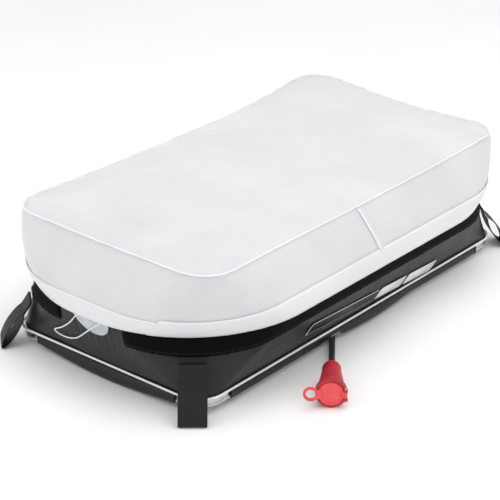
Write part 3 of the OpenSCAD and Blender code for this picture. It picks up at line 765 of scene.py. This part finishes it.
def run_tree(piece, tree, values):
    """Runs a tree on the piece with named values and keeps the result as plain mesh."""
    modifier = piece.modifiers.new(tree.name, "NODES")
    modifier.node_group = tree
    for item in tree.interface.items_tree:
        if item.item_type == "SOCKET" and item.in_out == "INPUT" and item.name in values:
            modifier[item.identifier] = values[item.name]
    return bake(piece)


# %% Stitch and bristle trees
def stitch_tree():
    tree, given, result = new_tree("stitch_row", [
        ("Spacing", "NodeSocketFloat"), ("Length", "NodeSocketFloat"),
        ("Thread", "NodeSocketFloat"), ("Material", "NodeSocketMaterial")])
    curve = tree.nodes.new("GeometryNodeMeshToCurve")
    even = tree.nodes.new("GeometryNodeResampleCurve")
    even.mode = "LENGTH"
    bead = tree.nodes.new("GeometryNodeMeshIcoSphere")
    bead.inputs["Subdivisions"].default_value = 1
    bead.inputs["Radius"].default_value = 0.5
    size = tree.nodes.new("ShaderNodeCombineXYZ")
    tangent = tree.nodes.new("GeometryNodeInputTangent")
    turn = tree.nodes.new("FunctionNodeAlignRotationToVector")
    turn.axis = "X"
    put = tree.nodes.new("GeometryNodeInstanceOnPoints")
    real = tree.nodes.new("GeometryNodeRealizeInstances")
    paint = tree.nodes.new("GeometryNodeSetMaterial")
    wire(tree, [
        (given.outputs["Geometry"], curve.inputs[0]), (curve.outputs[0], even.inputs["Curve"]),
        (given.outputs["Spacing"], even.inputs["Length"]), (even.outputs[0], put.inputs["Points"]),
        (bead.outputs["Mesh"], put.inputs["Instance"]), (tangent.outputs[0], turn.inputs["Vector"]),
        (turn.outputs["Rotation"], put.inputs["Rotation"]), (given.outputs["Length"], size.inputs["X"]),
        (given.outputs["Thread"], size.inputs["Y"]), (given.outputs["Thread"], size.inputs["Z"]),
        (size.outputs[0], put.inputs["Scale"]), (put.outputs[0], real.inputs[0]),
        (real.outputs[0], paint.inputs["Geometry"]), (given.outputs["Material"], paint.inputs["Material"]),
        (paint.outputs[0], result.inputs["Geometry"])])
    return tree


def bristle_tree():
    tree, given, result = new_tree("loose_hooks", [
        ("Density", "NodeSocketFloat"), ("Seed", "NodeSocketInt"),
        ("Length", "NodeSocketFloat"), ("Material", "NodeSocketMaterial")])
    scatter = tree.nodes.new("GeometryNodeDistributePointsOnFaces")
    hair = tree.nodes.new("GeometryNodeMeshCone")
    hair.inputs["Vertices"].default_value = 4
    hair.inputs["Radius Bottom"].default_value = 0.00045
    hair.inputs["Radius Top"].default_value = 0.0001
    lean = tree.nodes.new("FunctionNodeRandomValue")
    lean.data_type = "FLOAT_VECTOR"
    lean.inputs[0].default_value, lean.inputs[1].default_value = (1.2, -0.9, -3.1), (3.6, 0.9, 3.1)
    put = tree.nodes.new("GeometryNodeInstanceOnPoints")
    real = tree.nodes.new("GeometryNodeRealizeInstances")
    paint = tree.nodes.new("GeometryNodeSetMaterial")
    wire(tree, [
        (given.outputs["Geometry"], scatter.inputs["Mesh"]),
        (given.outputs["Density"], scatter.inputs["Density"]),
        (given.outputs["Seed"], scatter.inputs["Seed"]), (given.outputs["Seed"], lean.inputs["Seed"]),
        (given.outputs["Length"], hair.inputs["Depth"]), (scatter.outputs["Points"], put.inputs["Points"]),
        (hair.outputs["Mesh"], put.inputs["Instance"]), (lean.outputs[0], put.inputs["Rotation"]),
        (put.outputs[0], real.inputs[0]), (real.outputs[0], paint.inputs["Geometry"]),
        (given.outputs["Material"], paint.inputs["Material"]), (paint.outputs[0], result.inputs["Geometry"])])
    return tree


STITCH, BRISTLE = stitch_tree(), bristle_tree()
fringe = tape_band("hook_fringe", TAPE_Z - 0.4 * MM, TAPE_Z + 1.6 * MM, 1.4 * MM, 1)
run_tree(fringe, BRISTLE, {"Density": 900000.0, "Seed": 4, "Length": 2.6 * MM, "Material": hook_fabric})
place(fringe, "root", hook_fabric)
print("loose hooks:", len(fringe.data.polygons), "faces")

# %% [markdown]
# ## Stitching
# Rows of stitches hold the hem, the tape and the webbing. Each row is a line of points, and
# the tree lays short beads of thread along it.

# %% Hem and tape stitches
thread_white = simple("white_sewing_thread", "#d2d3d8", "#e0e1e5", 2.0, 0.5, 0.6, 0.5, 0.1)
thread_black = simple("black_sewing_thread", "#2b2b2d", "#38383b", 2.0, 0.5, 0.6, 0.5, 0.1)


def stitch_row(name, points, body, material, spacing=5.0, closed=True, thread=0.7):
    n = len(points)
    edges = [(i, (i + 1) % n) for i in range(n if closed else n - 1)]
    row = new_mesh(name, [tuple(p) for p in points], [], edges)
    run_tree(row, STITCH, {"Spacing": spacing * MM, "Length": spacing * 0.7 * MM, "Thread": thread * MM,
                           "Material": material})
    place(row, body, material)
    return row


for number, share in enumerate((0.14, 0.86)):
    stitch_row("hem_stitches_%d" % (number + 1), hood_ring(share * HEM_SHARE, 1.1 * MM)[0], "hood",
               thread_white)
stitch_row("tape_stitches", open_ring(TAPE_Z + 4 * MM, 1.7 * MM, VALVE_HALF), "root", thread_black,
           closed=False)

# %% [markdown]
# ## Under-flaps
# Flaps of the same coated cloth wrap the tray's edge between the corners and sag below it.
# Each is a swept section whose lower edge follows a cosine, with slack folds added.

# %% Flaps
NOTCH_Z = 17.0


def flap(name, at, turn, half, low, shallow, out, back, mid, reach_mm, node_name,
         notch=1000.0):
    """Skirt along one side: half its length, its lowest edge, its bulge and where the lead passes, in mm."""
    steps, rings = 70, []
    top = WALL_Z / MM - 3
    for i in range(steps + 1):
        s = half - 2 * half * i / steps
        near = abs(s - mid) < reach_mm
        k = math.cos(math.pi / 2 * (s - mid) / reach_mm) ** 1.2 if near else 0.0
        zb, o = NOTCH_Z if abs(s - notch) < 22 else shallow + (low - shallow) * k, out * k
        fold = 1.3 * k * noise.noise(Vector((s * 0.03, zb * 0.1, at[0])))
        outline = [(0.9, top), (2.0, top), (2.5 + o * 0.75, top - (top - zb) * 0.30),
                   (2.5 + o * 0.9 + fold, (top + zb) / 2), (2.3 + o * 0.85 - fold, zb + (top - zb) * 0.2),
                   (1.6 + 0.5 * o, zb + 0.3), (-back * 0.5, zb + 0.2), (-back, zb + 0.3),
                   (-back, zb + 1.3), (-back * 0.5, zb + 1.3), (0.6 + 0.4 * o, zb + 1.4),
                   (1.2 + o * 0.8, (top + zb) / 2)]
        if abs(s - notch) < 45:
            outline = [(max(u, 0.6), z) for u, z in outline]
        rings.append([np.array((s, u, z)) * MM for u, z in outline])
    c, sn = math.cos(math.radians(turn)), math.sin(math.radians(turn))
    rings = [[(p[0] * c - p[1] * sn + at[0], p[0] * sn + p[1] * c + at[1], p[2]) for p in r] for r in rings]
    piece = skin(name, rings)
    n = len(rings[0])
    ends = piece.data
    verts = [v.co[:] for v in ends.vertices]
    faces = [tuple(p.vertices) for p in ends.polygons]
    faces += [tuple(range(n)), tuple(reversed(range(steps * n, steps * n + n)))]
    bpy.data.objects.remove(piece)
    piece = new_mesh(name, verts, [tuple(reversed(f)) for f in faces])
    return place(piece, "root", wall_fabric, (node_name,))


LEAD_NOTCH = 94.5
END_HALF, SIDE_HALF = BASE_W / 2 / MM - 62, BASE_L / 2 / MM - 70
flap("flap_left", (-BASE_L / 2, 0), 90, END_HALF, 0.7, 11, 6, 29, 0, END_HALF, "under_flap_left")
flap("flap_right", (BASE_L / 2, 0), -90, END_HALF, 0.7, 11, 6, 29, 0, END_HALF, "under_flap_right")
flap("flap_front", (0, -BASE_W / 2), 180, SIDE_HALF, 6, 11.5, 5, 3, -20, 130, "under_flap_front", LEAD_NOTCH)
flap("flap_back", (0, BASE_W / 2), 0, SIDE_HALF, 6, 11.5, 5, 3, 0, 130, "under_flap_back")

# %% [markdown]
# ## Webbing loops
# Each loop is one length of webbing folded back on itself, so it is a single band that runs
# out, turns and comes back. It is modelled as that band, with a UV map in metres along and
# across it so the weave follows the turn.

# %% Loops
WEB_W, WEB_T, LOOP_LEN, DROP = 50.0, 1.8, 104.0, 57.0


def half_gap(p):
    return WEB_T + 0.2 + 7 * math.sin(math.pi * min(1.0, max(0.0, (p - 28) / (LOOP_LEN - 28)))) ** 0.7


def band_line(inset):
    """Outline of the folded webbing in its own plane, out along one side and back along the other."""
    steps = [p * 4.0 for p in range(int(LOOP_LEN / 4))]
    side = [(p, half_gap(p) - inset) for p in steps]
    tip = [(LOOP_LEN - 1.2 - inset * 0.9, 2.6 - inset), (LOOP_LEN - 0.4 - inset, 0.0)]
    back = [(LOOP_LEN - 1.2 - inset * 0.9, -2.6 + inset)]
    return side + tip + back + [(p, -h) for p, h in reversed(side)]


def make_loop(index):
    joint = next(j for j in frame["joints"] if j["name"] == "loop_%d_swing" % index)
    origin, axis = np.array(joint["pos_m"]), np.array(joint["axis"])
    outward = np.cross((0, 0, 1), axis)
    d = math.radians(DROP)
    along = outward * math.cos(d) - np.array((0, 0, 1)) * math.sin(d)
    normal = outward * math.sin(d) + np.array((0, 0, 1)) * math.cos(d)
    line = band_line(WEB_T / 2)
    across, rings = 9, []
    for k in range(across):
        v = WEB_W * (k / (across - 1) - 0.5)
        bow = 0.5 * math.cos(math.pi * v / WEB_W)
        rings.append([origin + MM * (p * along + (q + math.copysign(bow * 0.4, q)) * normal + v * axis * 0.98)
                      for p, q in line])
    piece = skin("webbing_%d" % index, rings, closed=False)
    uv = piece.data.uv_layers.new(name="UVMap")
    run = np.concatenate([[0], np.cumsum([math.dist(a, b) for a, b in zip(line, line[1:])])]) * MM * 10
    n = len(line)
    for corner in piece.data.loops:
        k, i = divmod(corner.vertex_index, n)
        uv.data[corner.index].uv = (run[i], k / (across - 1) * WEB_W * MM * 10)
    thicken(piece, (WEB_T - 0.3) * MM, offset=0.0, levels=1)
    place(piece, "webbing_loop_%d" % index, web_fabric, ("webbing_loop_%d" % index,))
    for number, p in enumerate((4.0, 22.0)):
        row = [origin + MM * (p * along + (half_gap(p) + 0.2) * normal + v * axis) for v in range(-22, 23, 4)]
        stitch_row("webbing_%d_row_%d" % (index, number + 1), row, "webbing_loop_%d" % index, thread_black,
                   spacing=3.6, closed=False, thread=0.9)


for loop_index in range(1, 5):
    make_loop(loop_index)

# %% [markdown]
# ## Air bladder
# Under the hood a film bladder holds the air. It shows only when the hood is lifted. It is a
# smooth pillow shape of stacked rings under a domed top.

# %% Bladder
lo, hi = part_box("air_bladder")
b_l, b_w, b_h = hi[0] - lo[0], hi[1] - lo[1], hi[2] - lo[2]
bladder_rings = []
for i in range(25):
    a = math.pi * (i / 24) - math.pi / 2
    inset = 30 * MM * (1 - abs(math.cos(a)) ** 0.45)
    z = lo[2] + b_h * 0.40 * (1 + math.sin(a))
    points, ways = ring(b_l - 2 * inset, b_w - 2 * inset, b_w / 2 - 14 * MM - inset, z)
    bladder_rings.append([p + w * (0.8 * MM * noise.noise(Vector((p[0] * 20, p[1] * 20, z * 30))))
                          for p, w in zip(points, ways)])
top_ring, top_z = np.array(bladder_rings[-1]), bladder_rings[-1][0][2]
for s in [1 - i / 16 for i in range(1, 16)]:
    dome = top_z + (hi[2] - top_z - 1 * MM) * (1 - s * s)
    bladder_rings.append([(p[0] * s, p[1] * s, dome) for p in top_ring])
bladder = skin("bladder_film", bladder_rings, tip=(0, 0, hi[2] - 1 * MM))
n_ring = len(top_ring)
verts = [v.co[:] for v in bladder.data.vertices] + [(0, 0, lo[2])]
faces = [tuple(p.vertices) for p in bladder.data.polygons]
faces += [((i + 1) % n_ring, i, len(verts) - 1) for i in range(n_ring)]
bpy.data.objects.remove(bladder)
bladder = new_mesh("bladder_film", verts, faces)
place(bladder, "root", bladder_film, ("air_bladder",))

# %% [markdown]
# ## Printed panels
# Three slanted panels with rounded ends sit low on the long wall. They carry no lettering,
# only a thin outline on the black one.

# %% Panels
def panel(name, x0, x1, z0, tall, material, node_name, lift, inset=0.0):
    """A slanted panel with rounded ends, laid on the sloping wall. Sizes in millimetres."""
    fall, slant = 0.055, 14.0
    corners = [(x0 + inset * 1.6, inset), (x1 - inset, inset),
               (x1 - inset * 1.6, tall - inset), (x0 + inset, tall - inset)]
    outline = []
    for k, (x, v) in enumerate(corners):
        radius = (6.0 if k in (1, 3) else 3.0)
        before, after = corners[k - 1], corners[(k + 1) % 4]
        for a in (before, after):
            gap = math.dist((x, v), a)
            outline.append((x + (a[0] - x) * radius / gap, v + (a[1] - v) * radius / gap, (x, v)))
    points = []
    for k in range(0, len(outline), 2):
        a, b = outline[k], outline[k + 1]
        for t in [i / 6 for i in range(7)]:
            points.append(tuple((1 - t) ** 2 * a[j] + 2 * t * (1 - t) * a[2][j] + t * t * b[j]
                                for j in (0, 1)))
    lean = math.atan2((TOP_W - BASE_W) / 2, HEM_Z - WALL_Z)
    h = (z0 * MM - WALL_Z) / (HEM_Z - WALL_Z)
    base_y = -(BASE_W + (TOP_W - BASE_W) * h) / 2
    flat = []
    for x, v in points:
        u = v - (x - x0) * fall
        panel_y = base_y - u * MM * math.sin(lean) - lift * MM * math.cos(lean)
        panel_z = z0 * MM + u * MM * math.cos(lean) - lift * MM * math.sin(lean)
        flat.append(((x + slant * v / tall) * MM, panel_y, panel_z))
    piece = new_mesh(name, flat, [tuple(range(len(flat)))])
    thicken(piece, 0.5 * MM, offset=1.0)
    return place(piece, "root", material, (node_name,) if node_name else ())


for number, (x0, x1, z0) in enumerate(((-186, 14, 58), (22, 104, 47), (112, 204, 42))):
    node_name = "label_panel_%d" % (number + 1)
    panel("panel_edge_%d" % (number + 1), x0, x1, z0, 20, label_white, node_name, 2.0)
    if number == 0:
        inner = panel("panel_face_1", x0, x1, z0, 20, label_black, None, 2.45, inset=1.3)

# %% [markdown]
# ## Valve ring
# The valve's film is welded round its rim and once more round the filler, so two soft
# raised beads follow it.

# %% Weld beads
def weld_bead(name, radius_mm, first, last, lift_mm):
    lean = math.atan2((TOP_L - BASE_L) / 2, HEM_Z - WALL_Z)
    line = []
    for i in range(61):
        a = math.radians(first + (last - first) * i / 60)
        y, up = radius_mm * math.sin(a), radius_mm * math.cos(a) + 4.0
        if up < 0:
            x = -TOP_L / 2 / MM - lift_mm * math.cos(lean) - up * math.sin(lean)
        else:
            x = -TOP_L / 2 / MM - lift_mm
        z = HEM_Z / MM + (up if up > 0 else up * math.cos(lean))
        line.append((Vector((x, y + VALVE_Y / MM, z))))
    bead = cord_curve(name, line, 1.6 * MM)
    flat = bake_curve(bead, name)
    place(flat, "root", valve_film)


def bake_curve(curve_piece, name):
    view = bpy.context.evaluated_depsgraph_get()
    mesh = bpy.data.meshes.new_from_object(curve_piece.evaluated_get(view))
    bpy.data.objects.remove(curve_piece)
    piece = bpy.data.objects.new(name, mesh)
    bpy.context.scene.collection.objects.link(piece)
    for polygon in mesh.polygons:
        polygon.use_smooth = True
    return piece


weld_bead("valve_weld_outer", 40.6, 96, 264, 1.5)
weld_bead("valve_weld_inner", 31.0, 98, 262, 1.5)

# %% [markdown]
# ## Studio
# A pale floor and a bright even sky, with one large soft light from above and behind and a
# weaker one from the front, give the white top its glow and the black wall long dull
# reflections.

# %% Floor and lights
floor = new_mesh("floor", [(-6, -6, 0), (6, -6, 0), (6, 6, 0), (-6, 6, 0)], [(0, 1, 2, 3)])
floor.location.z = -0.0005
floor.data.materials.append(simple("pale_floor", "#fbfbfb", "#ffffff", 900.0, 0.7, 0.8, 20.0, 0.02))


def soft_light(name, turn, rise, distance, size, power):
    data = bpy.data.lights.new(name, "AREA")
    data.shape, data.size, data.energy = "DISK", size, power
    lamp = bpy.data.objects.new(name, data)
    lamp.location = AIM + direction(turn, rise) * distance
    lamp.rotation_mode = "QUATERNION"
    lamp.rotation_quaternion = (-direction(turn, rise)).to_track_quat("-Z", "Y")
    bpy.context.scene.collection.objects.link(lamp)


soft_light("top_light", 20, 78, 2.6, 2.4, 25)
soft_light("side_light", -110, 32, 3.0, 1.6, 8)
soft_light("front_light", 5, 24, 3.4, 1.8, 6)
world = bpy.data.worlds.new("studio_sky")
world.use_nodes = True
world.node_tree.nodes["Background"].inputs["Color"].default_value = (1, 1, 1, 1)
world.node_tree.nodes["Background"].inputs["Strength"].default_value = 0.82
bpy.context.scene.world = world
bpy.context.scene.view_settings.view_transform = "Standard"
